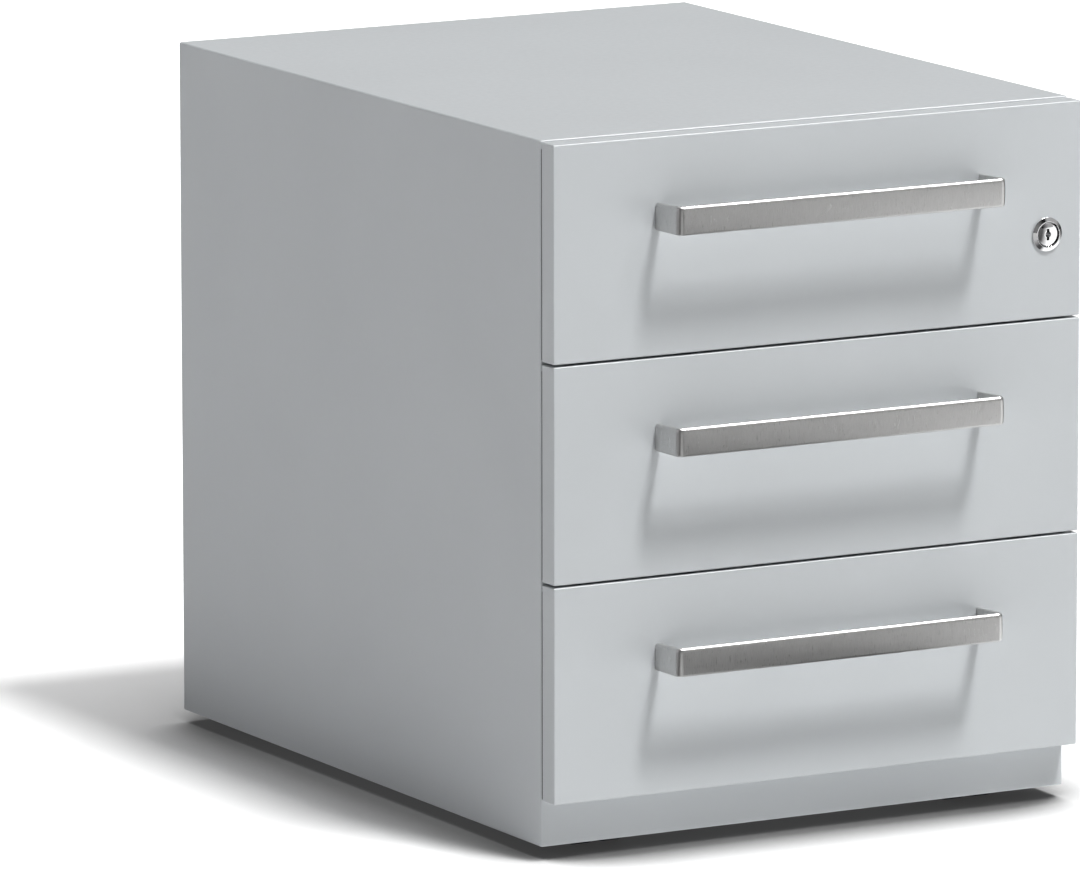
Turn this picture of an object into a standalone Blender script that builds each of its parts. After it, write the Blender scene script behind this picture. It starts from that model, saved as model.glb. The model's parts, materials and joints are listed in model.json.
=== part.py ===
"""Rolling three-drawer pedestal cabinet in folded sheet steel, on four twin-wheel castors.

Frame: origin on the floor under the middle of the whole object, +Z up, the drawers open
towards -Y, +X is the lock side. Metres throughout; MM turns millimetres into metres.
"""
import math

import bmesh
import bpy
from mathutils import Vector

MM = 0.001

# ---- driving dimensions -------------------------------------------------------------
WIDTH = 420 * MM
OVERALL_DEPTH = 555 * MM            # back of the carcass to the face of the drawer fronts
HEIGHT = 500 * MM                   # floor to top
HANDLE_REACH = 32.5 * MM            # how far a handle stands out of its front
FLOOR_CLEARANCE = 9 * MM            # floor to the lower edge of the carcass
SHEET = 1.0 * MM
FOLD = 2.0 * MM                     # outer radius of the carcass folds
FIT = 0.3 * MM                      # gap between pieces that touch

FRONT_THICKNESS = 17 * MM
FRONT_GAP = 1.5 * MM                # carcass to the back of the drawer fronts
FRONT_DROP = 1.0 * MM               # top of the top front below the carcass top
FRONT_PITCH = 153 * MM
FRONT_SPACING = 1.7 * MM            # gap between one front and the next
FRONT_HEIGHT = FRONT_PITCH - FRONT_SPACING

HALF_WIDTH = WIDTH / 2
BACK_Y = (OVERALL_DEPTH + HANDLE_REACH) / 2
FACE_Y = BACK_Y - OVERALL_DEPTH
FRONT_BACK_Y = FACE_Y + FRONT_THICKNESS
CARCASS_Y = FRONT_BACK_Y + FRONT_GAP
INSIDE_X = HALF_WIDTH - SHEET - 0.4 * MM

BASE_TOP = 51.8 * MM
BASE_FLANGE = 13 * MM
SIDE_RETURN = 9 * MM
TOP_RETURN = 12 * MM
REAR_RETURN = 12 * MM
BOTTOM_RETURN = 10 * MM

SLIDE_LENGTH = 450 * MM
SLIDE_START_Y = CARCASS_Y + 6.75 * MM
SLIDE_OUTSIDE_X = 200 * MM          # back of the outer slide members
SLIDE_WALL = 1.2 * MM
SLIDE_ABOVE_FRONT = 32 * MM         # slide centre above the lower edge of its front

TRAY_HALF_WIDTH = 187.4 * MM
TRAY_START_Y = FRONT_BACK_Y + 0.65 * MM
TRAY_END_Y = 250 * MM
TRAY_ABOVE_FRONT = 14 * MM          # tray floor above the lower edge of its front
TRAY_HEIGHT = 110 * MM
TRAY_RIM = 6 * MM

HANDLE_LENGTH = 262 * MM
HANDLE_HEIGHT = 20 * MM
HANDLE_STRIP = 4 * MM
HANDLE_BEND = 5 * MM
HANDLE_BELOW_FRONT_TOP = 44.3 * MM  # upper edge of the bar
HANDLE_ROOT_TOP_DROP = 1.5 * MM
HANDLE_ROOT_FOOT_DROP = 0.4 * MM

LOCK_X = 182.5 * MM
LOCK_BELOW_FRONT_TOP = 92.2 * MM
LOCK_PLUG_RADIUS = 8.4 * MM
LOCK_BARREL_RADIUS = 10.2 * MM
LOCK_BEZEL_RADIUS = 12.0 * MM
LOCK_BEZEL_PROUD = 2.4 * MM
CAM_LENGTH = 21 * MM
CAM_HALF_WIDTH = 4 * MM
CAM_THICKNESS = 1.8 * MM
LOCK_TRAVEL = 7 * MM                # how far the lock bar lifts

CASTOR_X = 150 * MM
CASTOR_INSET = 53 * MM              # swivel axis from the front and rear edges of the carcass
CASTOR_TRAIL = 17 * MM
WHEEL_RADIUS = 20 * MM
WHEEL_INNER = 3.1 * MM              # inner face of a wheel from the castor's centre plane
WHEEL_OUTER = 19.6 * MM

DRAWERS = ("top", "middle", "bottom")
FRONT_TOPS = [HEIGHT - FRONT_DROP - i * FRONT_PITCH for i in range(len(DRAWERS))]
LOCK_Z = FRONT_TOPS[0] - LOCK_BELOW_FRONT_TOP

# ---- scene and materials ------------------------------------------------------------
for existing in list(bpy.data.objects):
    bpy.data.objects.remove(existing, do_unlink=True)

PARTS = bpy.data.collections.new("rolling_pedestal_cabinet")
CUTTERS = bpy.data.collections.new("cutters")
for group in (PARTS, CUTTERS):
    bpy.context.scene.collection.children.link(group)


def material(name, colour, roughness, metallic):
    """A plain Principled material."""
    made = bpy.data.materials.new(name)
    made.use_nodes = True
    shader = made.node_tree.nodes["Principled BSDF"]
    shader.inputs["Base Color"].default_value = (*colour, 1.0)
    shader.inputs["Roughness"].default_value = roughness
    shader.inputs["Metallic"].default_value = metallic
    return made


PAINT = ("light_grey_paint", (0.60, 0.63, 0.65), 0.45, 0.0)
ZINC = ("zinc_steel", (0.56, 0.57, 0.58), 0.35, 1.0)
NICKEL = ("brushed_nickel", (0.46, 0.45, 0.44), 0.32, 1.0)
CHROME = ("chrome", (0.75, 0.75, 0.76), 0.08, 1.0)
NYLON = ("black_nylon", (0.02, 0.02, 0.022), 0.5, 0.0)
TREAD = ("dark_tread", (0.035, 0.035, 0.038), 0.65, 0.0)
IRON = ("cast_iron", (0.12, 0.12, 0.12), 0.7, 0.8)


# ---- mesh helpers -------------------------------------------------------------------
def add_object(name, mesh, finish, location=(0, 0, 0), parent=None, collection=None):
    """An object for a mesh, with its own material."""
    made = bpy.data.objects.new(name, mesh)
    made.location = location
    made.parent = parent
    (collection or PARTS).objects.link(made)
    if finish:
        label, colour, roughness, metallic = finish
        if not mesh.materials:
            mesh.materials.append(None)
        made.material_slots[0].link = "OBJECT"
        made.material_slots[0].material = material(f"{name}_{label}", colour, roughness, metallic)
    return made


def mesh_from(name, bm):
    """A mesh datablock from a bmesh, which is freed."""
    mesh = bpy.data.meshes.new(name)
    bm.to_mesh(mesh)
    bm.free()
    return mesh


def cutter(name, mesh, location=(0, 0, 0)):
    """A hidden tool object for a Boolean."""
    made = add_object(name, mesh, None, location, collection=CUTTERS)
    made.hide_render = True
    made.display_type = "WIRE"
    return made


def modify(target, kind, **settings):
    """Adds a modifier and sets its properties."""
    modifier = target.modifiers.new(kind.lower(), kind)
    for key, value in settings.items():
        setattr(modifier, key, value)
    return modifier


def boolean(target, tool, operation):
    """An exact Boolean with a hidden tool object."""
    modify(target, "BOOLEAN", operation=operation, solver="EXACT", object=tool)


def box_bmesh(low, high):
    """A box between two corners."""
    bm = bmesh.new()
    bmesh.ops.create_cube(bm, size=1.0)
    low, high = Vector(low), Vector(high)
    for vert in bm.verts:
        vert.co = Vector((low[i] + (vert.co[i] + 0.5) * (high[i] - low[i]) for i in range(3)))
    return bm


def box_mesh(name, low, high, rounding=0.0, segments=2):
    """A solid box, its edges rounded where a rounding is given."""
    bm = box_bmesh(low, high)
    if rounding:
        bmesh.ops.bevel(bm, geom=bm.edges[:], offset=rounding, segments=segments, affect="EDGES",
                        profile=0.5)
    return mesh_from(name, bm)


def face_towards(bm, direction):
    """The face of a box that looks along a direction."""
    return max(bm.faces, key=lambda face: face.normal.dot(Vector(direction)))


def open_face(bm, direction):
    """Removes one whole side of a box."""
    bmesh.ops.delete(bm, geom=[face_towards(bm, direction)], context="FACES")


def window(bm, direction, low_margins, high_margins):
    """Cuts a rectangular window in one side of a box; the margins are the flanges that stay."""
    bm.normal_update()
    face = face_towards(bm, direction)
    corners = [vert.co.copy() for vert in face.verts]
    low = Vector((min(co[i] for co in corners) for i in range(3)))
    high = Vector((max(co[i] for co in corners) for i in range(3)))
    middle = (low + high) / 2
    bmesh.ops.inset_region(bm, faces=[face], thickness=2 * MM, use_even_offset=True)
    for vert in face.verts:
        for i in range(3):
            if abs(direction[i]) > 0.5:
                continue
            if vert.co[i] < middle[i]:
                vert.co[i] = low[i] + low_margins[i]
            else:
                vert.co[i] = high[i] - high_margins[i]
    bmesh.ops.delete(bm, geom=[face], context="FACES")


def sheet_metal(target, thickness, rounding, segments=2, offset=-1.0):
    """Rounds the folds of an open surface and gives it its thickness."""
    modify(target, "BEVEL", width=rounding, segments=segments, limit_method="ANGLE",
           angle_limit=math.radians(50))
    modify(target, "SOLIDIFY", thickness=thickness, offset=offset, use_even_offset=True)


def strip_mesh(name, points, along, start, end):
    """An open surface: a folded outline swept along an axis ('y' or 'z')."""
    bm = bmesh.new()
    if along == "y":
        place = [Vector((a, start, b)) for a, b in points]
        sweep = Vector((0, end - start, 0))
    else:
        place = [Vector((a, b, start)) for a, b in points]
        sweep = Vector((0, 0, end - start))
    verts = [bm.verts.new(co) for co in place]
    edges = [bm.edges.new(pair) for pair in zip(verts, verts[1:])]
    grown = bmesh.ops.extrude_edge_only(bm, edges=edges)["geom"]
    moved = [item for item in grown if isinstance(item, bmesh.types.BMVert)]
    bmesh.ops.translate(bm, verts=moved, vec=sweep)
    return mesh_from(name, bm)


def cylinder_bmesh(radius, start, end, axis, segments=24):
    """A solid cylinder between two coordinates along 'x', 'y' or 'z'."""
    bm = bmesh.new()
    bmesh.ops.create_cone(bm, cap_ends=True, segments=segments, radius1=radius, radius2=radius,
                          depth=abs(end - start))
    turn = {"x": Vector((1, 0, 0)), "y": Vector((0, 1, 0)), "z": Vector((0, 0, 1))}[axis]
    rotation = Vector((0, 0, 1)).rotation_difference(turn).to_matrix()
    bmesh.ops.rotate(bm, verts=bm.verts, cent=(0, 0, 0), matrix=rotation)
    bmesh.ops.translate(bm, verts=bm.verts, vec=turn * (start + end) / 2)
    return bm


def cylinder_mesh(name, radius, start, end, axis, segments=24):
    """A solid cylinder as a mesh."""
    return mesh_from(name, cylinder_bmesh(radius, start, end, axis, segments))


def turned_mesh(name, profile, closed, axis, steps=28):
    """A turned solid. The profile is (radius, height), outer side from top to bottom."""
    bm = bmesh.new()
    verts = [bm.verts.new((radius, 0, height)) for radius, height in profile]
    pairs = list(zip(verts, verts[1:])) + ([(verts[-1], verts[0])] if closed else [])
    for pair in pairs:
        bm.edges.new(pair)
    rough = add_object(f"{name}_lathe", mesh_from(f"{name}_profile", bm), None, collection=CUTTERS)
    modify(rough, "SCREW", angle=math.tau, steps=steps, render_steps=steps, axis="Z",
           use_merge_vertices=True, merge_threshold=1e-5, use_normal_calculate=False)
    mesh = baked(name, rough)
    turn = {"x": Vector((1, 0, 0)), "y": Vector((0, 1, 0)), "z": Vector((0, 0, 1))}[axis]
    mesh.transform(Vector((0, 0, 1)).rotation_difference(turn).to_matrix().to_4x4())
    mesh.shade_smooth()
    mesh.set_sharp_from_angle(angle=math.radians(35))
    return mesh


def baked(name, source):
    """The evaluated mesh of an object, which is then removed."""
    graph = bpy.context.evaluated_depsgraph_get()
    mesh = bpy.data.meshes.new_from_object(source.evaluated_get(graph))
    mesh.name = name
    bpy.data.objects.remove(source, do_unlink=True)
    return mesh


def empty(name, location, parent=None):
    """An empty on a joint's axis."""
    made = bpy.data.objects.new(name, None)
    made.empty_display_size = 0.02
    made.location = location
    made.parent = parent
    PARTS.objects.link(made)
    return made


# ---- carcass ------------------------------------------------------------------------
def build_carcass():
    """Folded shell with plinth, back and base pans, uprights and counterweight."""
    low = Vector((-HALF_WIDTH, CARCASS_Y, FLOOR_CLEARANCE))
    high = Vector((HALF_WIDTH, BACK_Y, HEIGHT))
    wall = Vector((SHEET, SHEET, SHEET))
    shell = add_object("carcass_shell", box_mesh("carcass_shell", low, high, FOLD, 3), PAINT)
    hollow = box_mesh("shell_hollow", low + wall, high - wall, FOLD - SHEET, 3)
    boolean(shell, cutter("shell_hollow", hollow), "DIFFERENCE")
    reach = Vector((0, 5 * MM, 5 * MM))
    front = box_mesh("front_window", (low.x + SIDE_RETURN, low.y - reach.y, BASE_TOP),
                     (high.x - SIDE_RETURN, low.y + reach.y, high.z - TOP_RETURN))
    rear = box_mesh("rear_window", (low.x + REAR_RETURN, high.y - reach.y, low.z + REAR_RETURN),
                    (high.x - REAR_RETURN, high.y + reach.y, high.z - REAR_RETURN))
    foot = box_mesh("foot_window", (low.x + BOTTOM_RETURN, low.y + BOTTOM_RETURN, low.z - reach.z),
                    (high.x - BOTTOM_RETURN, high.y - BOTTOM_RETURN, low.z + reach.z))
    for name, mesh in (("front_window", front), ("rear_window", rear), ("foot_window", foot)):
        boolean(shell, cutter(name, mesh), "DIFFERENCE")

    pan_back = BACK_Y - SHEET - FIT
    pan_front = pan_back - 12 * MM
    bm = box_bmesh((-INSIDE_X, pan_front, low[2] + SHEET + FIT), (INSIDE_X, pan_back, HEIGHT - SHEET - FIT))
    open_face(bm, (0, -1, 0))
    back = add_object("back_panel", mesh_from("back_panel", bm), PAINT)
    sheet_metal(back, SHEET, 1.5 * MM)

    bm = box_bmesh((-INSIDE_X, CARCASS_Y + SHEET + FIT, BASE_TOP - BASE_FLANGE),
                   (INSIDE_X, pan_front - FIT, BASE_TOP))
    open_face(bm, (0, 0, -1))
    base = add_object("base_panel", mesh_from("base_panel", bm), PAINT)
    sheet_metal(base, SHEET, 1.5 * MM)

    lip = 11 * MM
    web = 28 * MM
    for end, centre in (("front", CARCASS_Y + 38 * MM), ("rear", SLIDE_START_Y + SLIDE_LENGTH - 25 * MM)):
        for side, sign in (("left", -1), ("right", 1)):
            outer = sign * (INSIDE_X - SHEET / 2)
            inner = sign * (SLIDE_OUTSIDE_X + FIT + SHEET / 2)
            ys = [centre + sign * offset for offset in (-web / 2 - lip, -web / 2, web / 2, web / 2 + lip)]
            outline = [(outer, ys[0]), (outer, ys[1]), (inner, ys[1]), (inner, ys[2]), (outer, ys[2]),
                       (outer, ys[3])]
            name = f"upright_{end}_{side}"
            hat = strip_mesh(name, outline, "z", BASE_TOP + FIT, HEIGHT - SHEET - FIT)
            made = add_object(name, hat, ZINC)
            modify(made, "SOLIDIFY", thickness=SHEET, offset=0.0, use_even_offset=True)
    weight = box_mesh("counterweight", (-150 * MM, TRAY_END_Y + 4 * MM, BASE_TOP + FIT),
                      (150 * MM, pan_front - FIT, BASE_TOP + 60 * MM), 1.5 * MM)
    add_object("counterweight", weight, IRON)


# ---- slides -------------------------------------------------------------------------
def channel_mesh(name, web_x, tip_x, half_height, start, end, offset):
    """One slide member: a C channel along Y, its web at web_x and its lips ending at tip_x."""
    outline = [(tip_x, half_height), (web_x, half_height), (web_x, -half_height), (tip_x, -half_height)]
    rough = add_object(f"{name}_fold", strip_mesh(name, outline, "y", start, end), None, collection=CUTTERS)
    modify(rough, "SOLIDIFY", thickness=SLIDE_WALL, offset=offset, use_even_offset=True)
    return baked(name, rough)


def build_slides(row, front_top, drawer):
    """Left and right three-member slides of one drawer; x runs out of the cabinet's middle."""
    centre_z = front_top - FRONT_HEIGHT + SLIDE_ABOVE_FRONT
    end = SLIDE_START_Y + SLIDE_LENGTH
    back_x = SLIDE_OUTSIDE_X
    middle_x = back_x - 1.9 * MM
    inner_x = TRAY_HALF_WIDTH + 0.4 * MM
    tip_x = back_x - 10.5 * MM
    start = SLIDE_START_Y
    members = {
        "outer": channel_mesh("slide_outer", back_x, tip_x, 18 * MM, start, end, 1.0),
        "middle": channel_mesh("slide_middle", middle_x, tip_x, 15.8 * MM, start, end, 1.0),
        "inner": channel_mesh("slide_inner", inner_x, inner_x + 8 * MM, 13.4 * MM, start, end, -1.0),
    }
    middle_carrier = empty(f"{row}_slide_middle_axis", (0, 0, 0))
    parents = {"outer": None, "middle": middle_carrier, "inner": drawer}
    for member, mesh in members.items():
        for side, angle in (("right", 0.0), ("left", math.pi)):
            name = f"{row}_slide_{member}_{side}"
            made = add_object(name, mesh, ZINC, (0, 0, centre_z), parents[member])
            made.rotation_euler = (0, angle, 0)


# ---- drawers ------------------------------------------------------------------------
def handle_mesh():
    """Flat strip bent into a U, centred on X, its bar's upper edge at z = 0, face at y = 0."""
    half = HANDLE_LENGTH / 2
    steps = 5
    corner = []
    for i in range(steps + 1):
        angle = math.pi / 2 * i / steps
        corner.append((half - HANDLE_BEND * (1 - math.cos(angle)),
                       -HANDLE_REACH + HANDLE_BEND * (1 - math.sin(angle))))
    outline = [(half, -FIT)] + corner
    outline += [(-x, y) for x, y in reversed(outline)]
    mesh = strip_mesh("handle_path", outline, "z", -HANDLE_HEIGHT, 0)
    for vert in mesh.vertices:
        if vert.co.y > -HANDLE_STRIP:
            vert.co.z -= HANDLE_ROOT_TOP_DROP if vert.co.z > -HANDLE_STRIP else HANDLE_ROOT_FOOT_DROP
    rough = add_object("handle_fold", mesh, None, collection=CUTTERS)
    modify(rough, "SOLIDIFY", thickness=HANDLE_STRIP, offset=-1.0, use_even_offset=True)
    modify(rough, "BEVEL", width=1.2 * MM, segments=3, limit_method="ANGLE", angle_limit=math.radians(50))
    mesh = baked("handle", rough)
    mesh.shade_smooth()
    mesh.set_sharp_from_angle(angle=math.radians(40))
    return mesh


def build_drawer(index, row, handle):
    """Front, liner, tray with lock ear, handle and slides of one drawer."""
    top = FRONT_TOPS[index]
    foot = top - FRONT_HEIGHT
    drawer = empty(f"{row}_drawer_axis", (0, 0, 0))

    bm = box_bmesh((-HALF_WIDTH, FACE_Y, foot), (HALF_WIDTH, FRONT_BACK_Y, top))
    margin = 12 * MM
    window(bm, (0, 1, 0), (margin,) * 3, (margin,) * 3)
    front = add_object(f"{row}_front", mesh_from(f"{row}_front", bm), PAINT, parent=drawer)
    sheet_metal(front, SHEET, 1.6 * MM, segments=3)

    inset = margin + FIT
    liner_mesh = box_mesh(f"{row}_front_liner", (-HALF_WIDTH + inset, FRONT_BACK_Y - SHEET, foot + inset),
                          (HALF_WIDTH - inset, FRONT_BACK_Y, top - inset))
    liner = add_object(f"{row}_front_liner", liner_mesh, PAINT, parent=drawer)

    floor = foot + TRAY_ABOVE_FRONT
    rim = floor + TRAY_HEIGHT
    bm = box_bmesh((-TRAY_HALF_WIDTH, TRAY_START_Y, floor), (TRAY_HALF_WIDTH, TRAY_END_Y, rim))
    window(bm, (0, 0, 1), (TRAY_RIM,) * 3, (TRAY_RIM,) * 3)
    tray = add_object(f"{row}_tray", mesh_from(f"{row}_tray", bm), PAINT, parent=drawer)
    sheet_metal(tray, SHEET, 1.5 * MM)
    ear_z = foot + 60.5 * MM
    ear = box_mesh(f"{row}_ear", (TRAY_HALF_WIDTH - 0.7 * MM, CARCASS_Y + 11 * MM, ear_z),
                   (TRAY_HALF_WIDTH + 11 * MM, CARCASS_Y + 13 * MM, ear_z + 8 * MM))
    boolean(tray, cutter(f"{row}_ear", ear), "UNION")
    if index == 0:
        notch = box_mesh("lock_notch", (LOCK_X - 11.5 * MM, FACE_Y, LOCK_Z - CAM_LENGTH - 3 * MM),
                         (SLIDE_OUTSIDE_X, SLIDE_START_Y - 0.5 * MM, HEIGHT))
        boolean(tray, cutter("lock_notch", notch), "DIFFERENCE")
        reach = (LOCK_BARREL_RADIUS + FIT, FACE_Y - 5 * MM, CARCASS_Y)
        hole = cutter("lock_hole", cylinder_mesh("lock_hole", *reach, "y"), (LOCK_X, 0, LOCK_Z))
        boolean(front, hole, "DIFFERENCE")
        boolean(liner, hole, "DIFFERENCE")

    add_object(f"{row}_handle", handle, NICKEL, (0, FACE_Y, top - HANDLE_BELOW_FRONT_TOP), drawer)
    build_slides(row, top, drawer)
    return drawer


# ---- lock ---------------------------------------------------------------------------
def build_lock(drawer):
    """Housing in the top front, turning plug and cam, and the bar in the carcass."""
    axis = empty("lock_axis", (LOCK_X, 0, LOCK_Z), drawer)
    proud = -FACE_Y + LOCK_BEZEL_PROUD
    seat = -FACE_Y + FIT
    tail = -FRONT_BACK_Y
    bore = LOCK_PLUG_RADIUS + FIT
    ring = [(bore, proud - 0.6 * MM), (bore + 0.6 * MM, proud), (LOCK_BEZEL_RADIUS - 1.2 * MM, proud),
            (LOCK_BEZEL_RADIUS, proud - 1.2 * MM), (LOCK_BEZEL_RADIUS, seat), (LOCK_BARREL_RADIUS, seat),
            (LOCK_BARREL_RADIUS, tail), (bore, tail)]
    # The lathe's up axis is turned onto +Y, so heights are negated distances from the face.
    ring = [(radius, -height) for radius, height in reversed(ring)]
    add_object("lock_housing", turned_mesh("lock_housing", ring, True, "y"), CHROME, parent=axis)

    plug_front = -FACE_Y + LOCK_BEZEL_PROUD - 0.4 * MM
    plug_tail = -CARCASS_Y - 1.2 * MM
    plug = [(0, plug_front), (LOCK_PLUG_RADIUS - 0.8 * MM, plug_front),
            (LOCK_PLUG_RADIUS, plug_front - 0.8 * MM), (LOCK_PLUG_RADIUS, plug_tail), (0, plug_tail)]
    plug = [(radius, -height) for radius, height in reversed(plug)]
    turned = turned_mesh("lock_cylinder", plug, False, "y")
    cylinder = add_object("lock_cylinder", turned, CHROME, parent=axis)
    slot = box_mesh("key_slot", (-1.1 * MM, -plug_front - 2 * MM, -4.2 * MM),
                    (1.1 * MM, -plug_front + 9 * MM, 4.2 * MM))
    boolean(cylinder, cutter("key_slot", slot, (LOCK_X, 0, LOCK_Z)), "DIFFERENCE")

    cam_front = CARCASS_Y + 1.5 * MM
    cam_mesh = box_mesh("lock_cam", (-CAM_HALF_WIDTH, cam_front, -CAM_LENGTH),
                        (CAM_HALF_WIDTH, cam_front + CAM_THICKNESS, CAM_HALF_WIDTH + 1 * MM), 0.6 * MM)
    add_object("lock_cam", cam_mesh, ZINC, parent=axis)

    bar_x = SLIDE_OUTSIDE_X + 3 * MM
    bar_y = CARCASS_Y + 4.75 * MM
    foot_z = FRONT_TOPS[-1] - FRONT_HEIGHT + 40 * MM
    strip = box_mesh("lock_bar", (bar_x, bar_y, foot_z), (bar_x + 2 * MM, bar_y + 10 * MM, LOCK_Z + 50 * MM))
    bar = add_object("lock_bar", strip, ZINC)
    for row, top in zip(DRAWERS, FRONT_TOPS):
        hook_z = top - FRONT_HEIGHT + 52.8 * MM
        hook = box_mesh(f"{row}_hook", (bar_x - 10 * MM, CARCASS_Y + 8 * MM, hook_z),
                        (bar_x + 1 * MM, CARCASS_Y + 10 * MM, hook_z + 6 * MM))
        boolean(bar, cutter(f"{row}_hook", hook), "UNION")
    tab_z = LOCK_Z + CAM_HALF_WIDTH + FIT - LOCK_TRAVEL
    tab = box_mesh("cam_tab", (bar_x - 2.5 * MM, CARCASS_Y + 1.8 * MM, tab_z),
                   (bar_x + 1 * MM, bar_y + 1 * MM, tab_z + 3 * MM))
    boolean(bar, cutter("cam_tab", tab), "UNION")


# ---- castors ------------------------------------------------------------------------
def wheel_mesh():
    """One wheel of a twin castor, its axle along X, its inner face at x = 0."""
    width = WHEEL_OUTER - WHEEL_INNER
    bore = 2.8 * MM
    radius = WHEEL_RADIUS
    shoulder = 3.2 * MM
    arc = 3
    profile = [(0, width), (radius - shoulder - 2 * MM, width)]
    for i in range(arc + 1):
        angle = math.pi / 2 * i / arc
        profile.append((radius - shoulder * (1 - math.sin(angle)), width - shoulder * (1 - math.cos(angle))))
    for i in range(arc + 1):
        angle = math.pi / 2 * i / arc
        profile.append((radius - shoulder * (1 - math.cos(angle)), shoulder * (1 - math.sin(angle))))
    profile += [(bore, 0), (bore, width - 3 * MM), (0, width - 3 * MM)]
    return turned_mesh("castor_wheel", profile, False, "x", steps=24)


def yoke_mesh():
    """Hood, web, swivel plate and axle in one moulding; origin on the swivel axis at floor level."""
    axle_y = -CASTOR_TRAIL
    centre = (0, axle_y, WHEEL_RADIUS)
    half_web = WHEEL_INNER - 0.4 * MM
    half_hood = WHEEL_OUTER - 0.6 * MM
    web = add_object("yoke_web", cylinder_mesh("yoke_web", 14 * MM, -half_web, half_web, "x"), None,
                     centre, collection=CUTTERS)
    outer = WHEEL_RADIUS + 2.3 * MM
    hood = cutter("yoke_hood", cylinder_mesh("yoke_hood", outer, -half_hood, half_hood, "x", 32), centre)
    hollow = cylinder_mesh("yoke_hollow", WHEEL_RADIUS + 0.8 * MM, -half_hood - MM, half_hood + MM, "x", 32)
    boolean(hood, cutter("yoke_hollow", hollow, centre), "DIFFERENCE")
    below = box_mesh("yoke_below", (-25 * MM, -70 * MM, -5 * MM), (25 * MM, 40 * MM, WHEEL_RADIUS + 6 * MM))
    boolean(hood, cutter("yoke_below", below), "DIFFERENCE")
    neck = box_mesh("yoke_neck", (-half_web, axle_y - 9 * MM, WHEEL_RADIUS),
                    (half_web, axle_y + 9 * MM, 44 * MM))
    plate = cylinder_mesh("yoke_plate", 14.5 * MM, 42.0 * MM, 46.0 * MM, "z")
    saddle = box_mesh("yoke_saddle", (-12 * MM, axle_y - 4 * MM, 41.6 * MM), (12 * MM, 0, 44 * MM))
    axle = cylinder_mesh("yoke_axle", 2.4 * MM, -WHEEL_OUTER + 3.6 * MM, WHEEL_OUTER - 3.6 * MM, "x", 16)
    pivot = cylinder_mesh("yoke_pivot", 4.4 * MM, 40 * MM, 50 * MM, "z")
    boolean(web, cutter("yoke_neck", neck), "UNION")
    boolean(web, hood, "UNION")
    boolean(web, cutter("yoke_plate", plate), "UNION")
    boolean(web, cutter("yoke_saddle", saddle), "UNION")
    boolean(web, cutter("yoke_axle", axle, centre), "UNION")
    boolean(web, cutter("yoke_pivot", pivot), "DIFFERENCE")
    graph = bpy.context.evaluated_depsgraph_get()
    mesh = bpy.data.meshes.new_from_object(web.evaluated_get(graph))
    mesh.transform(web.matrix_world)
    bpy.data.objects.remove(web, do_unlink=True)
    return mesh


def plate_mesh():
    """Fixing plate with its raceway and rivet; origin on the swivel axis at floor level."""
    top = BASE_TOP - SHEET - FIT
    half = 19 * MM
    blank = box_mesh("plate_blank", (-half, -half, top - 2 * MM), (half, half, top), 0.4 * MM)
    plate = add_object("plate_blank", blank, None, collection=CUTTERS)
    race = cylinder_mesh("plate_race", 12.5 * MM, 46.4 * MM, top - 1 * MM, "z")
    rivet = cylinder_mesh("plate_rivet", 4.1 * MM, 41.6 * MM, top - 1 * MM, "z")
    boolean(plate, cutter("plate_race", race), "UNION")
    boolean(plate, cutter("plate_rivet", rivet), "UNION")
    return baked("castor_plate", plate)


def build_castors():
    """Four swivel castors, all trailing towards the front."""
    wheel = wheel_mesh()
    yoke = yoke_mesh()
    plate = plate_mesh()
    rows = (("front", CARCASS_Y + CASTOR_INSET), ("rear", BACK_Y - CASTOR_INSET))
    for row, y in rows:
        for side, sign in (("left", -1), ("right", 1)):
            name = f"castor_{row}_{side}"
            add_object(f"{name}_plate", plate, ZINC, (sign * CASTOR_X, y, 0))
            swivel = empty(f"{name}_swivel_axis", (sign * CASTOR_X, y, 0))
            add_object(f"{name}_yoke", yoke, NYLON, parent=swivel)
            for place, turn in (("right", 0.0), ("left", math.pi)):
                made = add_object(f"{name}_wheel_{place}", wheel, TREAD,
                                  (math.cos(turn) * WHEEL_INNER, -CASTOR_TRAIL, WHEEL_RADIUS), swivel)
                made.rotation_euler = (0, 0, turn)


build_carcass()
HANDLE = handle_mesh()
DRAWER_AXES = [build_drawer(number, drawer_name, HANDLE) for number, drawer_name in enumerate(DRAWERS)]
build_lock(DRAWER_AXES[0])
build_castors()
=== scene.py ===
"""Looks of the rolling three-drawer pedestal cabinet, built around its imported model.

Everything is in metres in the row frame: origin on the floor, drawers open towards -Y, +X is
the lock side. Pieces take the places of CAD nodes with finer meshes, or are fasteners and
trim that the CAD model leaves out.
"""
import json
import math

import bmesh
import bpy
from mathutils import Euler, Matrix, Vector


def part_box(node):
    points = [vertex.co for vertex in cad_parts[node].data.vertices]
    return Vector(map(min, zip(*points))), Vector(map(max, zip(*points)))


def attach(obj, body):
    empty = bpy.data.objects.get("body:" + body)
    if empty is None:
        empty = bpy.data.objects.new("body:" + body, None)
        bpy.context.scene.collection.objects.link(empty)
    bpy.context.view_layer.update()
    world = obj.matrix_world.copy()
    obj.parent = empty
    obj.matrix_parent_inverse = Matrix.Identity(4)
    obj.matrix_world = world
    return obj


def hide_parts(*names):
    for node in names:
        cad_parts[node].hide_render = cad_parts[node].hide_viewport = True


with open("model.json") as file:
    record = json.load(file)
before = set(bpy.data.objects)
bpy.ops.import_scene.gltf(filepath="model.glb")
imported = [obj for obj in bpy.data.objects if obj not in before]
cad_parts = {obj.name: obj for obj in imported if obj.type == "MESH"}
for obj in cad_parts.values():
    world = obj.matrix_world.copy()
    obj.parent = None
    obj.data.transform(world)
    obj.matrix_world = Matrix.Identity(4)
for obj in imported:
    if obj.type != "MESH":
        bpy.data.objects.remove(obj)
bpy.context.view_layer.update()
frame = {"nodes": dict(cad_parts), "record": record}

MM = 0.001
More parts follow.
